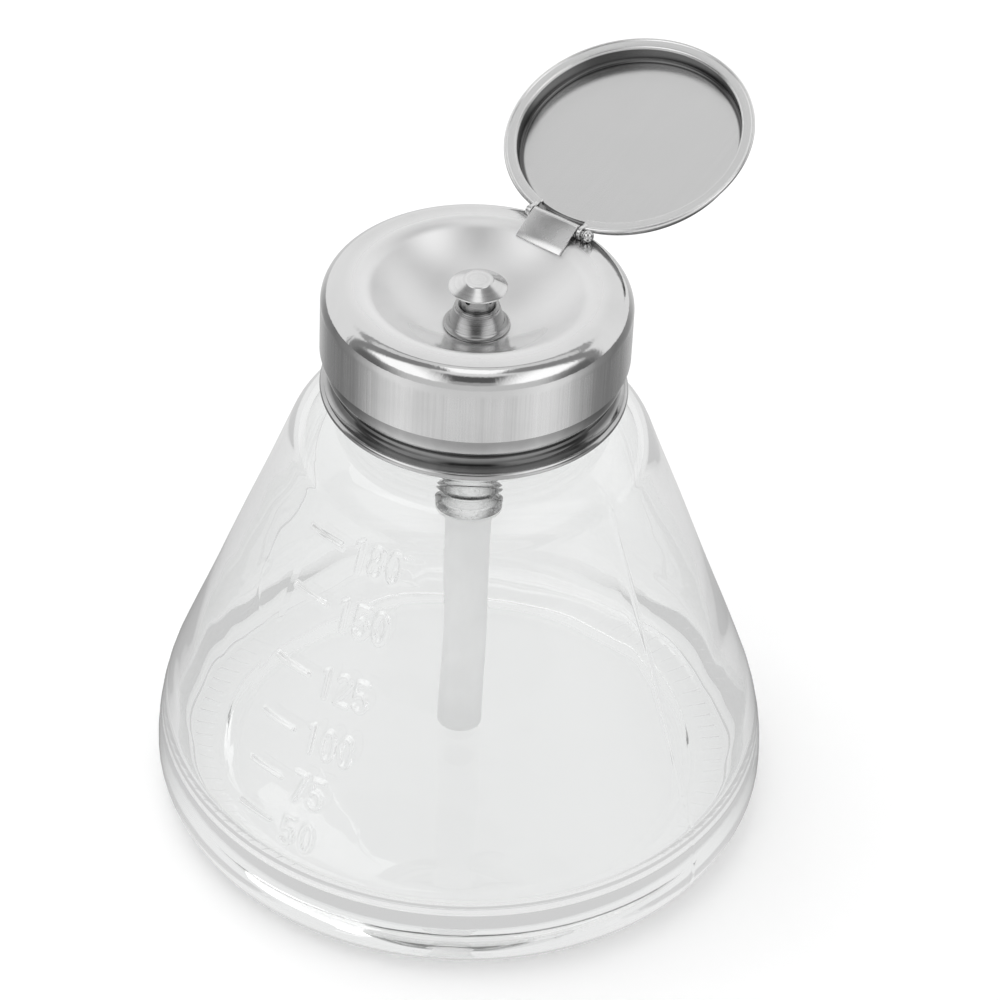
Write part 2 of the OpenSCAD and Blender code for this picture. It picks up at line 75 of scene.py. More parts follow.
coil_turns, coil_r, wire_r = 6, 2.5, 0.3
tube_r, tube_bore_r, tube_z, tube_top_z = 3.1, 2.25, 8.2, 46.8
cone_a, foot_r, bore_r, mouth_z = 20.868, 40.907, 13.2, 74.0
heel_c = np.array([bottle_r - heel_r, heel_h])
tuck_c, tuck_a = np.array([bottle_r - tuck_r, heel_h]), 40.656
shoulder_c = np.array([neck_r + neck_fillet_r, shoulder_h - shoulder_r])
floor_c, floor_a, inner_heel_r = np.array([34.5782, 11.2]), 13.7186, 30.3
lip_c = np.array([lip_in_r, lip_z - lip_round_r])
bowl_c = np.array([0.0, bowl_z])
hinge_p = np.array([hinge_y, hinge_z])
leaf_c, leaf_in_r, leaf_a = np.array([15.4871, 80.0]), 3.08, 121.188
leaf_run, leaf_sheet = 0.2, 0.36


# Outlines.
def arc(centre, radius, start, end, count):
    """Points centre + radius (cos a, sin a), for a from start to end in degrees."""
    a = np.radians(np.linspace(start, end, count + 1))
    return np.asarray(centre) + radius * np.stack([np.cos(a), np.sin(a)], -1)


def line(start, end, count):
    """Points start + (end - start) t, for t from 0 to 1."""
    t = np.linspace(0, 1, count + 1)[:, None]
    return np.asarray(start, float) * (1 - t) + np.asarray(end, float) * t


def path(*parts):
    """One outline from its parts, without points that repeat."""
    points = np.concatenate([np.atleast_2d(np.asarray(p, float)) for p in parts])
    keep = np.ones(len(points), bool)
    keep[1:] = np.linalg.norm(np.diff(points, axis=0), axis=1) > 1e-4
    return points[keep]


def smooth(low, high, x):
    """3t^2 - 2t^3, where t runs from 0 at low to 1 at high."""
    t = np.clip((x - low) / (high - low), 0, 1)
    return t * t * (3 - 2 * t)


# Meshes. The two gaps are in metres.
MERGE_GAP, SLIVER = 2e-7, 1e-7


def finish_mesh(obj, sharp=32):
    """Joins points that coincide, turns the faces outwards and shades them smooth."""
    work = bmesh.new()
    work.from_mesh(obj.data)
    bmesh.ops.remove_doubles(work, verts=work.verts, dist=MERGE_GAP)
    bmesh.ops.dissolve_degenerate(work, dist=SLIVER, edges=work.edges)
    bmesh.ops.recalc_face_normals(work, faces=work.faces)
    work.to_mesh(obj.data)
    work.free()
    obj.data.shade_smooth()
    obj.data.set_sharp_from_angle(angle=math.radians(sharp))
    return obj


def surface(name, grid, round_u=False, round_v=False, ends=False, sharp=32):
    """Mesh of the points grid[i, j], in millimetres, joined round where asked.

    The face at (i, j) has the corners (i, j), (i+1, j), (i+1, j+1) and (i, j+1);
    ends closes the first and the last row, which then run round in j.
    """
    rows, columns = grid.shape[:2]
    i = np.arange(rows if round_u else rows - 1)
    j = np.arange(columns if round_v else columns - 1)
    i, j = (k.ravel() for k in np.meshgrid(i, j, indexing="ij"))
    i_next, j_next = (i + 1) % rows, (j + 1) % columns
    faces = np.stack([i * columns + j, i_next * columns + j,
                      i_next * columns + j_next, i * columns + j_next], -1).tolist()
    if ends:
        faces += [list(range(columns)), [(rows - 1) * columns + k for k in range(columns)]]
    mesh = bpy.data.meshes.new(name)
    mesh.from_pydata((grid.reshape(-1, 3) * MM).tolist(), [], faces)
    obj = bpy.data.objects.new(name, mesh)
    bpy.context.scene.collection.objects.link(obj)
    return finish_mesh(obj, sharp)


def revolve(name, outline, count=224, closed=True, sharp=32):
    """Turned piece: the point (r, z) of the outline goes to (r sin a, -r cos a, z)."""
    a = np.linspace(0, 2 * np.pi, count, endpoint=False)[:, None]
    r, z = outline[None, :, 0], outline[None, :, 1]
    grid = np.stack([r * np.sin(a), -r * np.cos(a), z + 0 * a], -1)
    return surface(name, grid, round_u=True, round_v=closed, sharp=sharp)


def along_x(name, loop, low, high, edge=0.0, sharp=32):
    """The closed loop (y, z) drawn along X from low to high, its edges rounded by edge."""
    rows = [np.column_stack([np.full(len(loop), x), loop]) for x in (low, high)]
    obj = surface(name, np.array(rows), round_v=True, ends=True, sharp=sharp)
    if edge:
        bevel = obj.modifiers.new("edge", "BEVEL")
        bevel.width, bevel.segments, bevel.limit_method = edge * MM, 3, "ANGLE"
        bevel.angle_limit = math.radians(50)
        apply_modifiers(obj, sharp)
    return obj


def apply_modifiers(obj, sharp=32):
    """The object's mesh is what its modifiers make of it."""
    bpy.context.view_layer.update()
    shaped = obj.evaluated_get(bpy.context.evaluated_depsgraph_get())
    mesh = bpy.data.meshes.new_from_object(shaped)
    obj.modifiers.clear()
    obj.data = mesh
    return finish_mesh(obj, sharp)


def cut(obj, *cutters, sharp=32):
    """Takes the cutters out of the object, and then removes them."""
    for cutter in cutters:
        step = obj.modifiers.new("cut", "BOOLEAN")
        step.operation, step.solver, step.object = "DIFFERENCE", "EXACT", cutter
    apply_modifiers(obj, sharp)
    for cutter in cutters:
        bpy.data.objects.remove(cutter)
    return obj


def turn_x(obj, degrees, y, z):
    """Turns the mesh about a line along X through (y, z), given in millimetres."""
    centre = Vector((0, y * MM, z * MM))
    obj.data.transform(Matrix.Translation(centre)
                       @ Matrix.Rotation(math.radians(degrees), 4, "X")
                       @ Matrix.Translation(-centre))
    return obj


# Shader helpers.
class Nodes:
    """Short ways to place nodes in one tree. A value is a number or a socket."""

    def __init__(self, tree):
        self.tree = tree

    def add(self, kind, inputs=None, out=0, **settings):
        node = self.tree.nodes.new("ShaderNode" + kind)
        for key, value in settings.items():
            setattr(node, key, value)
        for key, value in (inputs or {}).items():
            self.put(node.inputs[key], value)
        return node.outputs[out] if out is not None else node

    def put(self, socket, value):
        if isinstance(value, bpy.types.NodeSocket):
            self.tree.links.new(value, socket)
        else:
            socket.default_value = value

    def math(self, operation, *values):
        return self.add("Math", dict(enumerate(values)), operation=operation)

    def ramp(self, value, low, high, to_low=0.0, to_high=1.0):
        """Value eased from to_low at low to to_high at high."""
        return self.add("MapRange", {0: value, 1: low, 2: high, 3: to_low, 4: to_high},
                        interpolation_type="SMOOTHSTEP")

    def noise(self, vector, scale, detail=2.0, rough=0.5, distortion=0.0):
        return self.add("TexNoise", {"Vector": vector, "Scale": scale, "Detail": detail,
                                     "Roughness": rough, "Distortion": distortion})

    def place(self):
        """Object coordinates in metres: the vector and its three parts."""
        vector = self.add("TexCoord", out=3)
        parts = self.add("SeparateXYZ", {0: vector}, out=None)
        return vector, parts.outputs[0], parts.outputs[1], parts.outputs[2]

    def radius(self, x, y):
        return self.math("SQRT", self.math("ADD", self.math("MULTIPLY", x, x),
                                           self.math("MULTIPLY", y, y)))

    def vector(self, x, y, z):
        return self.add("CombineXYZ", {0: x, 1: y, 2: z})

    def mix(self, factor, first, second):
        """Number between first and second."""
        return self.math("MULTIPLY_ADD", factor, self.math("SUBTRACT", second, first), first)


def shader_group(name, inputs, outputs, build):
    """Node group with named number inputs and named outputs; build returns the outputs."""
    tree = bpy.data.node_groups.new(name, "ShaderNodeTree")
    for label, value in inputs.items():
        socket = tree.interface.new_socket(label, in_out="INPUT", socket_type="NodeSocketFloat")
        socket.default_value = value
    for label in outputs:
        tree.interface.new_socket(label, in_out="OUTPUT", socket_type="NodeSocketFloat")
    entry, leave = tree.nodes.new("NodeGroupInput"), tree.nodes.new("NodeGroupOutput")
    nodes = Nodes(tree)
    made = build(nodes, {label: entry.outputs[label] for label in inputs})
    for label, socket in zip(outputs, made):
        nodes.put(leave.inputs[label], socket)
    return tree


def use(nodes, tree, **values):
    """Places a group in a material and returns its outputs by name."""
    node = nodes.tree.nodes.new("ShaderNodeGroup")
    node.node_tree = tree
    for label, value in values.items():
        nodes.put(node.inputs[label], value)
    return node.outputs


def upright_build(n, i):
    """Fine lines up a round wall: noise that changes fast round the axis and slowly up it."""
    _, x, y, z = n.place()
    r = n.radius(x, y)
    across = n.vector(n.math("MULTIPLY", n.math("DIVIDE", x, r), i["Lines"]),
                      n.math("MULTIPLY", n.math("DIVIDE", y, r), i["Lines"]),
                      n.math("MULTIPLY", z, i["Run"]))
    fine = n.noise(across, 1.0, 4.0, 0.65)
    broad = n.noise(across, 0.16, 2.0, 0.5)
    return [fine, n.math("ADD", n.math("MULTIPLY", fine, 0.5), n.math("MULTIPLY", broad, 0.5))]


def turned_build(n, i):
    """Fine rings left by turning: noise that changes with the radius and the height only."""
    _, x, y, z = n.place()
    r = n.radius(x, y)
    where = n.vector(n.math("MULTIPLY", r, i["Rings"]), n.math("MULTIPLY", z, i["Rings"]), 0.0)
    fine = n.noise(where, 1.0, 3.0, 0.7)
    return [fine, n.noise(where, 0.12, 1.0, 0.5)]


def straight_build(n, i):
    """Fine lines along Y, on flat sheet: noise squeezed along X."""
    _, x, y, z = n.place()
    where = n.vector(n.math("MULTIPLY", x, i["Lines"]), n.math("MULTIPLY", y, i["Run"]),
                     n.math("MULTIPLY", z, i["Run"]))
    fine = n.noise(where, 1.0, 4.0, 0.65)
    return [fine, n.noise(where, 0.2, 2.0, 0.5)]


def haze_build(n, i):
    """Faint clouds and small marks of handling."""
    vector, _, _, _ = n.place()
    clouds = n.noise(vector, i["Scale"], 4.0, 0.6, 0.6)
    specks = n.ramp(n.noise(vector, n.math("MULTIPLY", i["Scale"], 14.0), 3.0, 0.7), 0.62, 0.74)
    return [clouds, specks]


def foot_bars_build(n, i):
    """Short bars at two sides of the standing ring: sin(N a) between two radii, underneath only."""
    _, x, y, z = n.place()
    r, a = n.radius(x, y), n.math("ARCTAN2", x, y)
    wave = n.math("SINE", n.math("MULTIPLY", a, i["Bars"]))
    ring = n.math("MULTIPLY", n.ramp(r, 0.0345, 0.0350), n.ramp(r, 0.0388, 0.0393, 1.0, 0.0))
    under = n.ramp(z, 0.0004, 0.0008, 1.0, 0.0)
    aside = n.math("COSINE", n.math("SUBTRACT", a, 0.75))
    sides = n.ramp(n.math("ABSOLUTE", aside), 0.55, 0.80)
    where = n.math("MULTIPLY", n.math("MULTIPLY", ring, under), sides)
    bars = n.math("MULTIPLY", n.ramp(wave, 0.2, 0.8), where)
    return [n.math("MULTIPLY", bars, i["Depth"])]


fine_and_mask = ["Fine", "Mask"]
upright_lines = shader_group("upright_lines", {"Lines": 60.0, "Run": 40.0}, fine_and_mask,
                             upright_build)
turned_rings = shader_group("turned_rings", {"Rings": 9000.0}, fine_and_mask, turned_build)
wide_rings = shader_group("wide_rings", {"Rings": 5200.0}, fine_and_mask, turned_build)
straight_lines = shader_group("straight_lines", {"Lines": 6000.0, "Run": 150.0}, fine_and_mask,
                              straight_build)
haze = shader_group("haze", {"Scale": 90.0}, ["Clouds", "Specks"], haze_build)
foot_bars = shader_group("foot_bars", {"Bars": 90.0, "Depth": 0.09}, ["Height"], foot_bars_build)


def material(name):
    """An empty material with one Principled shader; returns it, its nodes and the shader."""
    mat = bpy.data.materials.new(name)
    mat.use_nodes = True
    return mat, Nodes(mat.node_tree), mat.node_tree.nodes["Principled BSDF"]


def grey(nodes, value):
    """A grey colour from one number."""
    return nodes.add("CombineColor", {0: value, 1: value, 2: value})


def bump(nodes, height, strength, distance):
    return nodes.add("Bump", {"Height": height, "Strength": strength, "Distance": distance})


def stepped(n, value, stops):
    """Number that runs through the stops (place, number) as the value goes from 0 to 1."""
    node = n.add("ValToRGB", {0: value}, out=None)
    ramp = node.color_ramp
    while len(ramp.elements) < len(stops):
        ramp.elements.new(0.5)
    for element, (place, number) in zip(ramp.elements, stops):
        element.position, element.color = place, (number, number, number, 1)
    return node.outputs[0]


def steel(name, tone=0.72, rough=0.14, lines=None, depth=0.4, spread=0.05, scale=90.0):
    """Bare steel: lines is one of the line groups, and haze varies its tone and roughness."""
    mat, n, shader = material(name)
    shader.inputs["Metallic"].default_value = 1.0
    cloud = use(n, haze, Scale=scale)
    tone_map = n.ramp(cloud["Clouds"], 0.3, 0.7, tone - spread, tone + spread)
    rough_map = n.ramp(cloud["Clouds"], 0.3, 0.7, rough * 0.8, rough * 1.25)
    height = n.math("MULTIPLY", cloud["Clouds"], 0.3)
    if lines:
        made = use(n, lines)
        tone_map = n.math("ADD", tone_map, n.ramp(made["Fine"], 0.3, 0.7, -spread, spread))
        rough_map = n.math("ADD", rough_map, n.ramp(made["Fine"], 0.3, 0.7, 0.0, 0.06))
        height = n.math("ADD", height, made["Fine"])
    n.put(shader.inputs["Base Color"], grey(n, tone_map))
    n.put(shader.inputs["Roughness"], rough_map)
    n.put(shader.inputs["Normal"], bump(n, height, depth, 0.00002))
    return mat


def plastic(name, colour, rough=0.4):
    """Moulded plastic with a faint unevenness."""
    mat, n, shader = material(name)
    cloud = use(n, haze, Scale=160.0)
    shade = n.ramp(cloud["Clouds"], 0.3, 0.7, 0.95, 1.0)
    parts = [n.math("MULTIPLY", shade, part) for part in colour]
    n.put(shader.inputs["Base Color"], n.add("CombineColor", dict(enumerate(parts))))
    rough_map = n.ramp(cloud["Clouds"], 0.3, 0.7, rough * 0.85, rough * 1.15)
    n.put(shader.inputs["Roughness"], rough_map)
    n.put(shader.inputs["Normal"], bump(n, cloud["Clouds"], 0.15, 0.00005))
    return mat


# Materials.
FRONT = (0.5779, -0.8161, 0.0)


def glass(name):
    """Clear pressed glass: long soft ripples, and short bars under two sides of the foot."""
    tint, ripple = (0.985, 0.990, 0.988), 0.12
    last_turn, painted_room_glow = 4.0, 0.62
    mat, n, shader = material(name)
    shader.inputs["Transmission Weight"].default_value = 1.0
    shader.inputs["Roughness"].default_value = 0.0
    shader.inputs["IOR"].default_value = 1.5
    long_wave = n.noise(n.place()[0], 70.0, 1.0, 0.4, 0.8)
    made = use(n, foot_bars)
    height = n.math("ADD", n.math("MULTIPLY", long_wave, ripple), made["Height"])
    n.put(shader.inputs["Normal"], bump(n, height, 1.0, 0.0004))
    # painted light: from a ray's fourth glossy turn inside the glass the glass is black, and at
    # that turn it glows white, in place of the pale room that the ray would reach
    depth = n.add("LightPath", out=None).outputs["Glossy Depth"]
    deep = n.math("GREATER_THAN", depth, last_turn - 0.5)
    colour = n.add("CombineColor", {k: n.mix(deep, part, 0.0) for k, part in enumerate(tint)})
    n.put(shader.inputs["Base Color"], colour)
    shader.inputs["Emission Color"].default_value = (1, 1, 1, 1)
    glow = n.math("MULTIPLY", n.math("COMPARE", depth, last_turn, 0.5), painted_room_glow)
    n.put(shader.inputs["Emission Strength"], glow)
    return mat


def cap_material():
    """Pressed steel: satin in the dish, rubbed bright in front of the boss, polished over the
    lip and shoulder, brushed upwards on the skirt."""
    satin_rough, rubbed_rough, shoulder_bump = 0.41, 0.15, 2.4
    mat, n, shader = material("pressed_steel")
    shader.inputs["Metallic"].default_value = 1.0
    vector, x, y, z = n.place()
    r = n.radius(x, y)
    skirt = n.math("MULTIPLY", n.ramp(r, 0.0199, 0.0203), n.ramp(z, 0.0795, 0.0806, 1.0, 0.0))
    dish = n.ramp(r, 0.0146, 0.0178, 1.0, 0.0)
    shoulder = n.math("MULTIPLY", n.ramp(r, 0.0176, 0.0180), n.math("SUBTRACT", 1.0, skirt))
    cloud, brushed = use(n, haze, Scale=70.0), use(n, upright_lines)
    turned = use(n, turned_rings, Rings=2500.0)
    tone = n.ramp(cloud["Clouds"], 0.3, 0.7, 0.72, 0.77)
    tone = n.mix(dish, tone, n.ramp(cloud["Clouds"], 0.3, 0.7, 0.89, 0.93))
    streaks = n.ramp(brushed["Mask"], 0.3, 0.7, -0.09, 0.05)
    tone = n.math("ADD", tone, n.math("MULTIPLY", skirt, streaks))
    rough = n.math("ADD", n.ramp(cloud["Clouds"], 0.35, 0.7, 0.07, 0.12),
                   n.math("MULTIPLY", cloud["Specks"], 0.08))
    forth = n.add("VectorMath", {0: vector, 1: FRONT}, out=1, operation="DOT_PRODUCT")
    rubbed = n.math("MULTIPLY", n.ramp(r, 0.0085, 0.0120, 1.0, 0.0),
                    n.ramp(forth, 0.0005, 0.0045))
    satin = n.math("ADD", n.mix(rubbed, satin_rough, rubbed_rough),
                   n.ramp(cloud["Clouds"], 0.35, 0.7, 0.0, 0.05))
    rough = n.mix(dish, rough, satin)
    rough = n.mix(skirt, rough, n.ramp(brushed["Mask"], 0.3, 0.7, 0.20, 0.30))
    uneven = n.noise(vector, 420.0, 3.0, 0.6, 0.5)
    height = n.math("MULTIPLY", turned["Fine"], 0.05)
    waves = n.math("MULTIPLY", n.math("MULTIPLY", uneven, shoulder), shoulder_bump)
    height = n.math("ADD", height, waves)
    height = n.mix(skirt, height, n.math("MULTIPLY", brushed["Fine"], 1.0))
    n.put(shader.inputs["Base Color"], grey(n, tone))
    n.put(shader.inputs["Roughness"], rough)
    n.put(shader.inputs["Normal"], bump(n, height, 0.35, 0.00003))
    return mat


def collar_material():
    """Rolled sheet, polished all over; its tone is painted by height and falls dark as painted
    shade in the hollow between the bead and the rim, and above the bead under the cap's edge.
    """
    mat, n, shader = material("rolled_steel")
    shader.inputs["Metallic"].default_value = 1.0
    low, tall = 0.0664, 0.0084
    cloud, turned = use(n, haze, Scale=110.0), use(n, turned_rings, Rings=5000.0)
    around = n.math("DIVIDE", n.math("SUBTRACT", n.place()[3], low), tall)
    # painted shade: the tone drops to 0.13 in the hollow between the rim and the bead, and to 0.20
    # above the bead, under the cap's edge
    tone = stepped(n, around, [(0.0, 0.64), (0.10, 0.62), (0.145, 0.48), (0.17, 0.14),
                               (0.20, 0.13), (0.24, 0.26), (0.33, 0.32), (0.38, 0.28),
                               (0.44, 0.60), (0.52, 0.64), (0.66, 0.42), (1.0, 0.20)])
    tone = n.math("MULTIPLY", tone, n.ramp(cloud["Clouds"], 0.3, 0.7, 0.85, 1.1))
    tone = n.math("MULTIPLY", tone, n.ramp(turned["Mask"], 0.3, 0.7, 0.85, 1.1))
    n.put(shader.inputs["Base Color"], grey(n, tone))
    n.put(shader.inputs["Roughness"], n.ramp(cloud["Clouds"], 0.3, 0.7, 0.07, 0.16))
    n.put(shader.inputs["Normal"], bump(n, turned["Fine"], 0.12, 0.00002))
    return mat


def lid_material():
    """Pressed sheet: faintly brushed flat, painted dark up the inner wall as shade in the recess.

    It reads where each point is, as (r, z), while the lid is shut.
    """
    mat, n, shader = material("lid_steel")
    shader.inputs["Metallic"].default_value = 1.0
    shut = n.add("Attribute", out=1, attribute_name="shut")
    parts = n.add("SeparateXYZ", {0: shut}, out=None)
    r, up = parts.outputs[0], parts.outputs[1]
    cloud, brushed = use(n, haze, Scale=60.0), use(n, straight_lines, Lines=2500.0, Run=60.0)
    # painted shade: the wall of the recess, r 14.5 to 15.7 mm above the flat rim, takes the dark
    # tone 0.15
    dark = n.math("MULTIPLY", n.ramp(r, 0.01445, 0.01480), n.ramp(r, 0.01560, 0.01575, 1.0, 0.0))
    dark = n.math("MULTIPLY", dark, n.ramp(up, 0.08385, 0.08400))
    tone = n.ramp(cloud["Clouds"], 0.3, 0.7, 0.82, 0.86)
    tone = n.math("ADD", tone, n.ramp(brushed["Fine"], 0.3, 0.7, -0.008, 0.008))
    n.put(shader.inputs["Base Color"], grey(n, n.mix(dark, tone, 0.15)))
    n.put(shader.inputs["Roughness"], n.ramp(cloud["Clouds"], 0.3, 0.7, 0.21, 0.25))
    n.put(shader.inputs["Normal"], bump(n, brushed["Fine"], 0.006, 0.00002))
    return mat


def pump_material():
    """Drawn steel tube, its tone painted by the angle to the eye: pale where it faces the eye, and
    a painted dark, mottled reflection where it turns away.
    """
    mat, n, shader = material("pump_steel")
    shader.inputs["Metallic"].default_value = 1.0
    vector = n.place()[0]
    mottle = n.noise(vector, 900.0, 3.0, 0.7, 1.0)
    # painted reflection: the tone runs from 0.92 where the tube faces the eye to a mottled 0.10 to
    # 0.42 towards its edges
    facing = n.add("LayerWeight", {0: 0.5}, out=1)
    shift = n.math("MULTIPLY", n.math("SUBTRACT", mottle, 0.5), 0.35)
    side = n.ramp(n.math("ADD", facing, shift), 0.12, 0.42)
    tone = n.mix(side, 0.92, n.ramp(mottle, 0.35, 0.65, 0.10, 0.42))
    n.put(shader.inputs["Base Color"], grey(n, tone))
    n.put(shader.inputs["Roughness"], n.ramp(mottle, 0.3, 0.7, 0.20, 0.30))
    return mat


clear_glass = glass("clear_glass")
pressed_steel = cap_material()
collar_steel = collar_material()
lid_steel = lid_material()
boss_steel = steel("boss_steel", tone=0.46, rough=0.20, lines=turned_rings, depth=0.25)
nozzle_steel = steel("nozzle_steel", tone=0.78, rough=0.17, lines=wide_rings, depth=0.012)
leaf_steel = steel("leaf_steel", tone=0.78, rough=0.24, depth=0.01, spread=0.03, scale=200.0)
pin_steel = steel("pin_steel", tone=0.70, rough=0.16, depth=0.01, scale=120.0)
pump_steel = pump_material()
spring_steel = steel("spring_steel", tone=0.60, rough=0.25, depth=0.1, scale=400.0)
tube_plastic = plastic("tube_plastic", (0.93, 0.93, 0.93), 0.45)
insert_plastic = plastic("insert_plastic", (0.85, 0.85, 0.84), 0.35)
gasket_foam = plastic("gasket_foam", (0.82, 0.82, 0.80), 0.7)
piston_plastic = plastic("piston_plastic", (0.80, 0.79, 0.74), 0.4)
seal_rubber = plastic("seal_rubber", (0.03, 0.03, 0.03), 0.55)


def dress(obj, mat, slot, body, *nodes):
    """Gives a new piece its material and its body, and hides the solids of the frame that it stands
    for; slot is not used.
    """
    obj.data.materials.clear()
    obj.data.materials.append(mat)
    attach(obj, body)
    if nodes:
        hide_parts(*nodes)
    return obj


def coat(node, mat):
    """Gives a solid of the frame its material."""
    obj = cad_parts[node]
    if not obj.material_slots:
        obj.data.materials.append(mat)
    for place in obj.material_slots:
        place.material = mat


# Bottle.
cone_slope = math.radians(cone_a)
cone_way = np.array([math.cos(cone_slope), math.sin(cone_slope)])
cone_low, cone_high = heel_c + heel_r * cone_way, shoulder_c + shoulder_r * cone_way
marks_low_a = math.degrees(math.asin((12.2 - heel_h) / heel_r))
ring_z = shoulder_h + neck_fillet_r


def bottle_outline():
    """Outline (r, z) of the glass: its outside, from the middle underneath, and its inside."""
    ring_out, inner_z = neck_r + neck_ring_out, shoulder_h - wall + bore_fillet_r
    k = np.linspace(0, 1, 13)
    under = np.column_stack([(ring_in_r - ring_step) * k, ring_step + underside_rise * (1 - k * k)])
    outside = [under, line([ring_in_r, 0], [foot_r - foot_edge_r, 0], 8),
               arc([foot_r - foot_edge_r, foot_edge_r], foot_edge_r, -90, 0, 6),
               arc(tuck_c, tuck_r, -tuck_a, 0, 12),
               arc(heel_c, heel_r, 0, marks_low_a, 6),
               arc(heel_c, heel_r, marks_low_a, cone_a, 19),
               line(cone_low, cone_high, 172),
               arc(shoulder_c, shoulder_r, cone_a, 45, 10),
               arc(shoulder_c, shoulder_r, 45, 90, 8),
               arc([neck_r + neck_fillet_r, ring_z], neck_fillet_r, -90, -180, 6),
               line([neck_r, ring_z + 0.2], [ring_out, ring_z + 0.5], 2),
               line([ring_out, ring_z + 0.5], [ring_out, ring_z + 0.5 + neck_ring_h], 2),
               line([neck_r, ring_z + 0.8 + neck_ring_h], [neck_r, mouth_z - mouth_r], 26),
               arc([neck_r - mouth_r, mouth_z - mouth_r], mouth_r, 0, 90, 5),
               arc([bore_r + mouth_r, mouth_z - mouth_r], mouth_r, 90, 180, 5)]
    inside = [line([bore_r, mouth_z - mouth_r], [bore_r, inner_z], 3),
              arc([bore_r + bore_fillet_r, inner_z], bore_fillet_r, 180, 270, 8),
              arc(shoulder_c, shoulder_r - wall, 90, cone_a, 14),
              line(shoulder_c + (shoulder_r - wall) * cone_way,
                   heel_c + inner_heel_r * cone_way, 40),
              arc(heel_c, inner_heel_r, cone_a, floor_a, 4),
              arc(floor_c, floor_corner_r, floor_a, -90, 16)]
    k = np.linspace(1, 0, 14)[1:]
    bottom = np.column_stack([floor_c[0] * k, floor_h + floor_rise * (1 - k * k)])
    return path(*outside), path(*inside, bottom)


# Each stroke of a figure is a list of points in a cell 2.6 mm wide and 5 mm high.
def bend(centre, radii, start, end, count=16):
    """Points centre + (rx cos a, ry sin a)."""
    a = np.radians(np.linspace(start, end, count + 1))
    return np.asarray(centre) + np.stack([radii[0] * np.cos(a), radii[1] * np.sin(a)], -1)


FIGURES = {
    "0": [bend((1.3, 2.5), (0.88, 2.0), 0, 360, 40)],
    "1": [line((1.35, 0.5), (1.35, 4.5), 12), line((1.35, 4.5), (0.8, 4.0), 3)],
    "2": [bend((1.3, 3.6), (0.88, 0.9), 165, -35), line((2.0, 3.1), (0.45, 0.5), 8),
          line((0.45, 0.5), (2.15, 0.5), 6)],
    "5": [line((2.1, 4.5), (0.65, 4.5), 5), line((0.65, 4.5), (0.5, 2.75), 6),
          bend((1.25, 1.65), (0.92, 1.15), 145, -145)],
    "7": [line((0.45, 4.5), (2.15, 4.5), 6), line((2.15, 4.5), (1.05, 0.5), 12)],
    "8": [bend((1.3, 3.55), (0.72, 0.95), 0, 360, 28), bend((1.3, 1.55), (0.88, 1.05), 0, 360, 30)],
}
# Volume, height of the line's middle and width of a cell.
VOLUMES = [("50", 16.6, 3.05), ("75", 22.7, 2.8), ("100", 29.5, 2.65), ("125", 37.2, 2.65),
           ("150", 46.7, 2.7), ("180", 54.6, 2.6)]
STROKE_HALF, STROKE_RISE = 0.44, 0.42
SEAMS, SEAM_HALF, SEAM_RISE, THREAD_RISE = (86.0, 266.0), 0.55, 0.06, 0.85


def mark_strokes():
    """All raised strokes as (height of the line, points), across and up the wall in millimetres."""
    strokes = []
    for word, z, cell in VOLUMES:
        for place, figure in enumerate(word):
            for points in FIGURES[figure]:
                strokes.append((z, points + [0.35 + place * cell, -2.5]))
        strokes.append((z, line((-7.0, 0), (-1.4, 0), 30)))
    return strokes


def raised(angle, up, z_line, r_line, strokes):
    """Rise of the glass at wall places (angle, up): STROKE_RISE (1 - d^3)^2 at the nearest stroke,
    where d is the distance to it over STROKE_HALF."""
    rise = np.zeros(np.broadcast(angle, up).shape)
    for z, points in strokes:
        across = angle * np.interp(z, z_line, r_line)
        lift = up - np.interp(z, z_line, up.ravel())
        low, high = points.min(0) - 1, points.max(0) + 1
        near = (across > low[0]) & (across < high[0]) & (lift > low[1]) & (lift < high[1])
        if not near.any():
            continue
        here = np.stack([across[near], np.broadcast_to(lift, near.shape)[near]], -1)
        first, last = points[:-1], points[1:]
        run = last - first
        along = ((here[:, None] - first) * run).sum(-1)
        t = np.clip(along / np.maximum((run ** 2).sum(-1), 1e-9), 0, 1)
        gap = np.linalg.norm(here[:, None] - first - t[..., None] * run, axis=-1).min(1)
        d = np.clip(gap / STROKE_HALF, 0, 1)
        rise[near] = np.maximum(rise[near], STROKE_RISE * (1 - d ** 3) ** 2)
    return rise


def column_angles():
    """Angles of the columns round the bottle in degrees, close together at the marks and seams."""
    fine = np.arange(-17.0, 17.01, 0.36)
    seam = np.array([-2.0, -1.2, -0.8, -0.5, -0.25, 0, 0.25, 0.5, 0.8, 1.2, 2.0])
    coarse = [np.linspace(17.0, 84.0, 19)[1:-1], np.linspace(88.0, 264.0, 48)[1:-1],
              np.linspace(268.0, 343.0, 21)[1:-1]]
    return np.concatenate([fine, coarse[0], SEAMS[0] + seam, coarse[1], SEAMS[1] + seam,
                           coarse[2]])


def wander(angle, z):
    """Slow unevenness of the inner wall: a sum of sines round and up the bottle."""
    return (0.10 * np.sin(2 * angle + 0.11 * z + 0.4)
            + 0.05 * np.sin(3 * angle - 0.19 * z + 2.1)
            + 0.020 * np.sin(4 * angle + 0.33 * z + 1.0)
            + 0.006 * np.sin(3 * angle + 0.8 * z + 3.0))


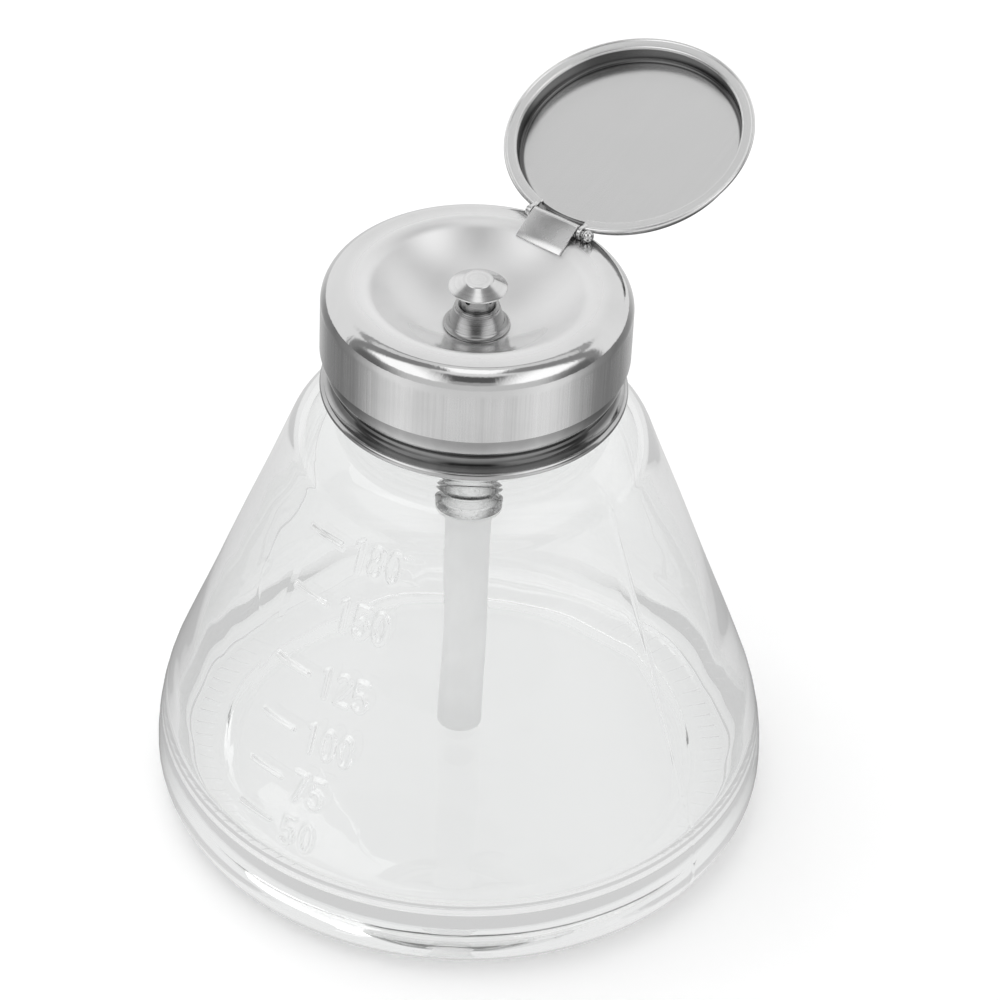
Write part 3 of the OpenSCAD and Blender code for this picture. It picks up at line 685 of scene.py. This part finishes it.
def build_bottle():
    """Turned glass: the outline's point p + rise n, for the marks, two seams and a thread, with n
    its normal, goes round the axis, and the inner wall wanders."""
    outside, inside = bottle_outline()
    a = np.radians(column_angles())[:, None]
    step = np.gradient(outside, axis=0)
    side = np.stack([step[:, 1], -step[:, 0]], -1)
    side /= np.linalg.norm(side, axis=1)[:, None]
    z = outside[:, 1]
    up = np.concatenate([[0], np.cumsum(np.linalg.norm(np.diff(outside, axis=0), axis=1))])
    body = (z > 11.0) & (outside[:, 0] > neck_r + 1.5)
    order = np.argsort(z[body])
    rise = np.zeros((len(a), len(outside)))
    rise[:, body] = raised(np.broadcast_to(a, (len(a), body.sum())), up[body][None, :],
                           z[body][order], outside[body, 0][order], mark_strokes())
    # the seams stand out between the heel and the neck
    seam_fade = smooth(2.0, 6.0, z) * (1 - smooth(61.0, 63.0, z))
    for seam in SEAMS:
        gap = np.abs(np.degrees(a) - seam) / SEAM_HALF
        rise = np.maximum(rise, SEAM_RISE * np.exp(-gap ** 2) * seam_fade)
    # right-handed thread: a rounded ridge once per pitch, fading at both ends
    turned = ((z - thread_pitch * a / (2 * np.pi)) / thread_pitch) % 1.0
    neck = (outside[:, 0] > neck_r - 0.01) & (outside[:, 0] < neck_r + 0.01)
    fade = smooth(ring_z + 2.2, ring_z + 3.2, z) * neck
    fade = fade * (1 - smooth(mouth_z - 2.2, mouth_z - 1.2, z))
    ridge = np.clip(np.cos((turned - 0.5) * 2 * np.pi) * 1.6 - 0.5, 0, 1)
    rise = rise + THREAD_RISE * ridge * fade
    wave = 0.035 * np.sin(3 * a + 0.3 * z) * body
    r = outside[:, 0] + side[:, 0] * rise + wave
    h = z + side[:, 1] * rise
    ri, hi = inside[:, 0], inside[:, 1]
    share = smooth(20.0, 26.0, ri) * smooth(9.0, 16.0, hi) * (1 - smooth(54.0, 60.0, hi))
    ri = ri + wander(a, hi) * share
    outer = np.stack([r * np.sin(a), -r * np.cos(a), h], -1)
    inner = np.stack([ri * np.sin(a), -ri * np.cos(a), np.broadcast_to(hi, ri.shape)], -1)
    grid = np.concatenate([outer, inner], 1)
    return surface("pressed_glass_bottle", grid, round_u=True, round_v=False, sharp=60)


bottle = build_bottle()
dress(bottle, clear_glass, "bottle_glass", "bottle", "glass_bottle")


# Cap and collar.
def cap_face(inset):
    """One face of the cap's sheet, from its lower edge over the lip to the hole."""
    hole_a = -math.degrees(math.acos(hole_r / (bowl_r + inset)))
    return path(line([cap_r - inset, cap_low_z], [cap_r - inset, lip_z - cap_edge_r], 10),
                arc([cap_r - cap_edge_r, lip_z - cap_edge_r], cap_edge_r - inset, 0, 90, 28),
                line([cap_r - cap_edge_r, lip_z - inset], [lip_in_r, lip_z - inset], 6)[1:-1],
                arc(lip_c, lip_round_r - inset, 90, 90 + dish_slope, 18),
                arc(bowl_c, bowl_r + inset, dish_slope - 90, hole_a, 48))


def build_cap():
    """Sheet of the cap: its outer and inner face, turned about the axis as one outline."""
    return revolve("pressed_dish_cap", path(cap_face(0), cap_face(cap_sheet)[::-1]), count=256)


def collar_face(inset):
    """One face of the collar's sheet, from its top down to the rolled rim."""
    bead_a = math.degrees(math.atan2(*(channel_c - bead_c)[::-1]))
    out = cap_r - cap_sheet - 0.1
    return path(line([out - inset, collar_top_z], [out - inset, bead_c[1]], 6),
                arc(bead_c, bead_r - inset, 0, bead_a, 20),
                arc(channel_c, channel_r + inset, bead_a + 180, 255, 24))


def build_collar():
    """Sheet of the collar: its two faces, joined by the round of the rolled rim."""
    rolled = arc([rim_out_r - rim_r, rim_z], rim_r, 100, -200, 36)
    return revolve("rolled_collar", path(collar_face(0), rolled, collar_face(collar_sheet)[::-1]),
                   count=256)


dress(build_cap(), pressed_steel, "cap_steel", "cap", "dish_cap")
dress(build_collar(), collar_steel, "collar_steel", "cap", "screw_collar")


# Nozzle and pump.
def build_boss():
    """Turned boss: a shank, a foot that flares in a fillet, a cone and a ring at its top."""
    bore, flare, foot, foot_r, waist_r = stem_r + 0.06, 0.8, 0.14, 4.4, 3.6
    outline = path([[bore, shank_low_z], [shank_r, shank_low_z], [shank_r, boss_foot_z],
                    [foot_r - 0.05, boss_foot_z], [foot_r, boss_foot_z + 0.05]],
                   arc([foot_r, boss_foot_z + foot + flare], flare, -90, -180, 14),
                   line([waist_r, boss_foot_z + foot + flare], [3.08, boss_top_z - 0.5], 8),
                   [[2.93, boss_top_z - 0.43], [2.90, boss_top_z - 0.36]],
                   arc([2.81, boss_top_z - 0.16], 0.15, -50, 90, 8),
                   [[bore + 0.25, boss_top_z - 0.02], [bore, boss_top_z - 0.25]])
    return revolve("turned_boss", outline, count=128, sharp=28)


def build_head():
    """Head: a straight cone, p + t (q - p), from a thin brim to a flat crown."""
    t = np.linspace(0, 1, 24)[:, None]
    brim, crown = np.array([3.82, head_z + 0.44]), np.array([2.00, head_top_z - 0.05])
    cone = brim + t * (crown - brim)
    outline = path([[0, head_z - 0.45], [0.75, head_z - 0.45], [0.75, head_z], [3.0, head_z]],
                   arc([3.78, head_z + 0.32], 0.12, -70, 75, 8), cone,
                   [[1.96, head_top_z], [0, head_top_z]])
    return revolve("turned_nozzle_head", outline, count=128, sharp=24)


def build_stem():
    """Hollow stem with a chamber at its foot and two cross holes under the head."""
    chamber_r, chamber_h, step_z, cross_r, top_z = 1.2, 1.9, 2.2, 0.45, head_z - 0.05
    outline = path([[chamber_r, stem_low_z]], line([stem_r, stem_low_z], [stem_r, top_z], 20),
                   [[stem_bore_r, top_z], [stem_bore_r, stem_low_z + step_z],
                    [chamber_r, stem_low_z + chamber_h]])
    stem = revolve("turned_stem", outline, count=96)
    a = np.radians(np.linspace(0, 360, 24, endpoint=False))
    loop = np.column_stack([cross_r * np.cos(a), head_z - 1 + cross_r * np.sin(a)])
    holes = []
    for quarter in (0, 90):
        hole = along_x("hole", loop, -3, 3)
        hole.data.transform(Matrix.Rotation(math.radians(quarter), 4, "Z"))
        holes.append(hole)
    return cut(stem, *holes)


def build_barrel():
    """Barrel with a flange at its top and a waist near its foot: r = R - d (1 + cos u) there, with
    u from -pi to pi."""
    low, high, middle, half, deep = 49.4, 53.0, 51.2, 1.8, 0.45
    z = np.linspace(low, high, 25)
    waist = np.column_stack([barrel_r - deep * (1 + np.cos((z - middle) / half * np.pi)), z])
    flange_z = barrel_top_z - flange_t
    outline = path([[barrel_r, barrel_low_z]], waist,
                   [[barrel_r, flange_z], [flange_r, flange_z], [flange_r, barrel_top_z],
                    [barrel_bore_r, barrel_top_z], [barrel_bore_r, barrel_low_z]])
    return revolve("pump_cylinder", outline, count=96)


def build_foot_plug():
    """Turned plug of the barrel: a nipple for the tube, a flange and the inlet ball's seat."""
    z = barrel_low_z - 0.8
    outline = path([[0.9, z - nipple_low], [1.9, z - nipple_low], [nipple_r, z - 6.1],
                    [nipple_r, z], [plug_r - 0.15, z], [plug_r, z + 0.15],
                    [plug_r, z + 0.75], [3.2, z + 0.75], [3.2, 50.85],
                    [1.75, 50.85], [1.75, 49.88], [0.78, 48.85], [0.78, 48.25], [0.9, 48.05]])
    return revolve("pump_foot", outline, count=96)


dress(build_boss(), boss_steel, "boss_steel", "cap", "guide_boss")
dress(build_head(), nozzle_steel, "nozzle_steel", "plunger", "nozzle_head")
dress(build_stem(), boss_steel, "stem_steel", "plunger", "nozzle_stem")
dress(build_barrel(), pump_steel, "pump_steel", "cap", "pump_barrel")
dress(build_foot_plug(), tube_plastic, "pump_end_plastic", "cap", "barrel_end")


def build_spring():
    """Spring: a round wire along R (cos a, sin a) at height h(a), its end turns closed."""
    lie, open_turns = wire_r * 2.15, coil_turns - 2
    pitch = (spring_length - 2 * wire_r - 2 * lie) / open_turns
    t = np.linspace(0, coil_turns, coil_turns * 36 + 1)[:, None]
    height = np.interp(t, [0, 1, coil_turns - 1, coil_turns],
                       wire_r + np.array([0, lie, lie + open_turns * pitch,
                                          2 * lie + open_turns * pitch]))
    a, b = 2 * np.pi * t, np.radians(np.arange(0, 360, 30))[None, :]
    r = coil_r + wire_r * np.cos(b)
    grid = np.stack([r * np.cos(a), r * np.sin(a), spring_z + height + wire_r * np.sin(b)], -1)
    return surface("pump_coil", grid, round_v=True, ends=True, sharp=50)


spring = build_spring()
dress(spring, spring_steel, "spring_steel", "cap", "pump_spring")
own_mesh(spring)


def build_tube():
    """Straight tube: the outline of its wall, its outer edges broken, turned about the axis."""
    chamfer = 0.12
    outline = path(line([tube_r, tube_z + chamfer], [tube_r, tube_top_z - chamfer], 24),
                   [[tube_r - chamfer, tube_top_z], [tube_bore_r, tube_top_z]],
                   [[tube_bore_r, tube_z], [tube_r - chamfer, tube_z]])
    return revolve("milky_tube", outline, count=96)


dress(build_tube(), tube_plastic, "tube_plastic", "cap", "dip_tube")


# Lid and hinge.
def keep_shut(obj):
    """Writes where each point is while the lid is shut, as (r, z), to the attribute shut."""
    points = np.array([v.co[:] for v in obj.data.vertices])
    r = np.hypot(points[:, 0], points[:, 1])
    values = np.column_stack([r, points[:, 2], 0 * points[:, 2]])
    shut = obj.data.attributes.new("shut", "FLOAT_VECTOR", "POINT")
    shut.data.foreach_set("vector", values.ravel())
    return obj


def build_lid():
    """Pressed lid: a disc, a corner, a wall, a flat rim and a rolled edge; it is turned open."""
    top, wall_r = lid_z + lid_sheet + lid_depth, lid_r - lid_rim_w
    corner = [wall_r - lid_corner_r, top - lid_corner_r]
    roll = arc([lid_r - lid_roll_r, lid_z + lid_sheet / 2], lid_roll_r, -140, 140, 20)
    inner_r = wall_r - lid_sheet
    outline = path(line([0, top - lid_sheet], [corner[0], top - lid_sheet], 14),
                   arc(corner, lid_corner_r - lid_sheet, 90, 0, 12),
                   line([inner_r, top - lid_corner_r], [inner_r, lid_z + 0.3], 6),
                   arc([inner_r + 0.3, lid_z + 0.3], 0.3, 180, 270, 8),
                   roll,
                   arc([wall_r + 0.2, lid_z + lid_sheet + 0.2], 0.2, 270, 180, 6),
                   line([wall_r, lid_z + lid_sheet + 0.3], [wall_r, top - lid_corner_r], 6),
                   arc(corner, lid_corner_r, 0, 90, 16),
                   line([corner[0], top], [0, top], 14))
    lid = revolve("pressed_lid", outline, count=256, sharp=40)
    notch_x, notch_top = ear_x - 0.1, hinge_z + curl_r - 0.45
    low_y, high_y = hinge_y - lid_rim_w - 2, hinge_y + 4
    loop = np.array([[low_y, lid_z - 1], [high_y, lid_z - 1],
                     [high_y, notch_top], [low_y, notch_top]])
    cut(lid, along_x("notch", loop, -notch_x, notch_x), sharp=40)
    return turn_x(keep_shut(lid), -lid_open, hinge_y, hinge_z)


def build_ear(name, x):
    """Ear of the lid: a plate round the pin, drawn out to the lid's rim at one side. Its reach
    r(a) is the largest of the round, the wedges to two corners and the edge between them."""
    a = np.radians(np.linspace(0, 360, 97)[:-1])
    way = np.stack([np.cos(a), np.sin(a)], -1)
    toward = np.array([[-ear_reach, lid_z - hinge_z], [-ear_reach, lid_z + 1 - hinge_z]])
    reach = np.full(len(a), curl_r)
    for corner in toward:
        d = np.linalg.norm(corner)
        off = np.abs((a - math.atan2(corner[1], corner[0]) + np.pi) % (2 * np.pi) - np.pi)
        span = math.acos(curl_r / d)
        reach = np.maximum(reach, np.where(off < span, curl_r / np.cos(span - off), 0))
    first, last = (math.atan2(corner[1], corner[0]) for corner in toward[::-1])
    between = (a > first) & (a < last % (2 * np.pi))
    edge = ear_reach / np.maximum(-np.cos(a), 0.2)
    reach = np.where(between, np.maximum(reach, edge), reach)
    e, hole, far_x = thin_edge, pin_r + fit_gap, x + ear_t
    # the loop through the plate, as (x, r): the hole's two edges and the rim's, each broken by e
    rings = [(x + e, hole), (x, hole + e), (x, reach - e), (x + e, reach),
             (far_x - e, reach), (far_x, reach - e), (far_x, hole + e), (far_x - e, hole)]
    rows = []
    for at, r in rings:
        r = np.broadcast_to(r, len(a))
        rows.append(np.column_stack([np.full(len(a), at), hinge_y + r * way[:, 0],
                                     hinge_z + r * way[:, 1]]))
    ear = surface(name, np.array(rows), round_u=True, round_v=True, sharp=40)
    return turn_x(ear, -lid_open, hinge_y, hinge_z)


def leaf_face(radius):
    """One face of the leaf from the pin over the lip into the dish."""
    end = 90 + dish_slope
    slope = math.radians(dish_slope)
    over = arc(leaf_c, radius, leaf_a, end, 16)
    return path(over, [over[-1] - leaf_run * np.array([math.cos(slope), math.sin(slope)])])


def build_leaf():
    """Leaf: a sheet that curls round the pin and follows the lip, drawn along X."""
    outer = path(arc(hinge_p, curl_r, leaf_a - curl_turn, leaf_a, 44),
                 leaf_face(leaf_in_r + leaf_sheet))
    inner = path(arc(hinge_p, curl_in_r, leaf_a - curl_turn, leaf_a, 44), leaf_face(leaf_in_r))
    return along_x("hinge_leaf_sheet", path(outer, inner[::-1]), -leaf_w / 2, leaf_w / 2,
                   edge=0.07)


def build_pin():
    """Pin with a ball at one end and a flat head at the other: r(x) turned about the pin's axis."""
    neck_a = math.degrees(math.asin(pin_r / pin_head_r))
    ball = arc([pin_head_x, 0], pin_head_r, 180 - neck_a, 0, 20)
    end, inner_end = -pin_end_x, -pin_end_x + pin_end_t
    flat = np.array([[end, 0], [end, pin_end_r - 0.1], [end + 0.1, pin_end_r],
                     [inner_end, pin_end_r], [inner_end, pin_r]])
    outline = path(flat, line(flat[-1], ball[0], 12), ball)
    a = np.linspace(0, 2 * np.pi, 40, endpoint=False)[:, None]
    x, r = outline[None, :, 0], np.maximum(outline[None, :, 1], 0)
    grid = np.stack([x + 0 * a, hinge_y + r * np.cos(a), hinge_z + r * np.sin(a)], -1)
    return surface("hinge_pin_headed", grid, round_u=True)


dress(build_lid(), lid_steel, "lid_steel", "lid", "lid")
dress(build_ear("lid_ear_right", ear_x), leaf_steel, "lid_steel", "lid")
dress(build_ear("lid_ear_left", -ear_x - ear_t), leaf_steel, "lid_steel", "lid")
dress(build_leaf(), leaf_steel, "leaf_steel", "cap", "hinge_leaf")
dress(build_pin(), pin_steel, "pin_steel", "cap", "hinge_pin")

for node, mat in (("neck_gasket", gasket_foam), ("thread_insert", insert_plastic),
                  ("ball_cage", pump_steel), ("inlet_ball", pin_steel), ("outlet_ball", pin_steel),
                  ("piston", piston_plastic), ("piston_seal", seal_rubber)):
    coat(node, mat)


# Camera, floor, light.
pitch, roll, bearing = math.radians(38.517), math.radians(2.781), math.radians(35.3)
shift_x, shift_y, distance, focal = 5.983, -36.920, 570.83, 4000.0
turn = np.array([[math.cos(bearing), -math.sin(bearing), 0],
                 [math.sin(bearing), math.cos(bearing), 0], [0, 0, 1]])
forward = np.array([0, math.cos(pitch), -math.sin(pitch)])
level = np.array([1.0, 0, 0])
above = np.cross(level, forward)
right = math.cos(roll) * level + math.sin(roll) * above
down = -(-math.sin(roll) * level + math.cos(roll) * above)
eye = turn @ (-distance * forward + shift_x * right + shift_y * down) * MM
right, down, forward = turn @ right, turn @ down, turn @ forward
room_front, room_side = tuple(turn @ [0, -1.0, 0]), tuple(turn @ [1.0, 0, 0])

view = bpy.data.cameras.new("view")
view.sensor_width, view.clip_start = 36.0, 0.01
view.lens = view.sensor_width * focal / 1000.0
camera = bpy.data.objects.new("view", view)
pose = Matrix.Identity(4)
for row in range(3):
    for column, axis in enumerate((right, -down, -forward, eye)):
        pose[row][column] = axis[row]
camera.matrix_world = pose
bpy.context.scene.collection.objects.link(camera)
bpy.context.scene.camera = camera


def front_and_side(n, where):
    """How far a place or a way lies to the room's front, and how far to its side."""
    return [n.add("VectorMath", {0: where, 1: axis}, out=1, operation="DOT_PRODUCT")
            for axis in (room_front, room_side)]


def floor_material():
    """Matt white floor. In gloss it glows with a painted reflection of a room, grey at both sides,
    as a room round a table is; seen through the glass it glows pale, painted light with no shadow
    of the glass.
    """
    mat, n, shader = material("pale_floor")
    shader.inputs["Roughness"].default_value = 0.9
    shader.inputs["Specular IOR Level"].default_value = 0.0
    forth, aside = front_and_side(n, n.place()[0])
    around = n.math("DIVIDE", n.math("ABSOLUTE", n.math("ARCTAN2", aside, forth)), math.pi)
    # painted reflection: the greys that the floor glows with in gloss, in a ring round the object
    gloss = stepped(n, around, [(0.0, 0.68), (0.14, 0.70), (0.28, 0.88), (0.36, 0.74),
                                (0.40, 0.52), (0.50, 0.22), (0.61, 0.15), (0.72, 0.27),
                                (0.83, 0.60), (1.0, 0.75)])
    rays = n.add("LightPath", out=None)
    through = n.math("GREATER_THAN", rays.outputs["Transmission Depth"], 0.5)
    gloss_ray = rays.outputs["Is Glossy Ray"]
    apart = n.math("MAXIMUM", gloss_ray, through)
    n.put(shader.inputs["Base Color"], grey(n, n.mix(apart, 0.80, 0.05)))
    glow = n.math("MULTIPLY", rays.outputs["Is Camera Ray"], 0.24)
    glow = n.math("ADD", glow, n.math("MULTIPLY", gloss_ray, gloss))
    # painted light: seen through the glass the floor glows 0.80, and 1.15 to rays that have already
    # bounced off a matt surface, so no shadow of the glass shows
    inside = n.mix(n.math("GREATER_THAN", rays.outputs["Diffuse Depth"], 0.5), 0.80, 1.15)
    glow = n.mix(through, glow, inside)
    n.put(shader.inputs["Emission Color"], grey(n, glow))
    shader.inputs["Emission Strength"].default_value = 1.0
    return mat


floor_half, floor_drop = 3.0, 0.00002
across, along = np.meshgrid([-floor_half, floor_half], [-floor_half, floor_half], indexing="ij")
floor = surface("floor", np.stack([across, along, 0 * across - floor_drop], -1) / MM)
floor.data.materials.append(floor_material())


def studio_world():
    """White room. In gloss it has two bright panels high in front, with a dark gap between them.

    Every value below is a share of the way: its height, its part to the front and its part aside.
    """
    world = bpy.data.worlds.new("studio")
    world.use_nodes = True
    bpy.context.scene.world = world
    n = Nodes(world.node_tree)
    way = n.add("TexCoord")
    forth, aside = front_and_side(n, way)
    aside = n.math("ABSOLUTE", aside)
    height = n.add("SeparateXYZ", {0: way}, out=2)
    panel = n.ramp(aside, 0.20, 0.52, 0.55, 1.30)
    panel = n.math("MULTIPLY", panel, n.ramp(aside, 0.76, 0.90, 1.0, 0.22))
    gap = n.mix(n.ramp(height, 0.62, 0.70), 0.42, 0.11)
    panel = n.mix(n.ramp(aside, 0.17, 0.30), gap, panel)
    panel = n.mix(n.ramp(height, 0.915, 0.98), panel, 0.85)
    low = n.ramp(aside, 0.68, 0.96, 0.64, 0.14)
    front = n.mix(n.ramp(height, 0.40, 0.50), low, panel)
    over = n.mix(n.ramp(aside, 0.10, 0.16), 1.3, 0.26)
    bar = n.ramp(n.math("ABSOLUTE", n.math("SUBTRACT", height, 0.78)), 0.015, 0.045, 0.45, 1.0)
    behind = n.math("MULTIPLY", n.ramp(height, 0.70, 0.85, 0.90, 0.75), bar)
    gloss = n.mix(n.ramp(forth, -0.05, 0.10), over, front)
    edge = n.math("ADD", forth, n.math("MULTIPLY", n.math("MULTIPLY", height, height), 0.30))
    gloss = n.mix(n.ramp(edge, -0.14, -0.06), behind, gloss)
    rays = n.add("LightPath", out=None)
    through = n.math("GREATER_THAN", rays.outputs["Transmission Depth"], 0.5)
    clear = n.mix(n.ramp(aside, 0.35, 0.95), n.ramp(height, 0.0, 0.55, 0.62, 0.86), 0.58)
    strength = n.mix(rays.outputs["Is Diffuse Ray"], 1.0, 0.85)
    strength = n.mix(rays.outputs["Is Glossy Ray"], strength, gloss)
    clear = n.mix(n.math("GREATER_THAN", rays.outputs["Diffuse Depth"], 0.5), clear, 1.15)
    strength = n.mix(through, strength, clear)
    back = n.tree.nodes["Background"]
    n.put(back.inputs["Strength"], strength)
    back.inputs["Color"].default_value = (1, 1, 1, 1)


studio_world()


def soft_lamp(name, place, power, size):
    """Square lamp that looks at the middle of the bottle."""
    lamp = bpy.data.lights.new(name, "AREA")
    lamp.shape, lamp.size, lamp.energy = "SQUARE", size, power
    obj = bpy.data.objects.new(name, lamp)
    obj.location = place
    way = Vector((0, 0, 0.05)) - Vector(place)
    obj.rotation_euler = way.to_track_quat("-Z", "Y").to_euler()
    obj.visible_glossy = False
    bpy.context.scene.collection.objects.link(obj)


soft_lamp("top_lamp", tuple(turn @ [-0.3, 0.25, 1.1]), 4.0, 0.9)

bpy.context.scene.view_settings.view_transform = "Standard"
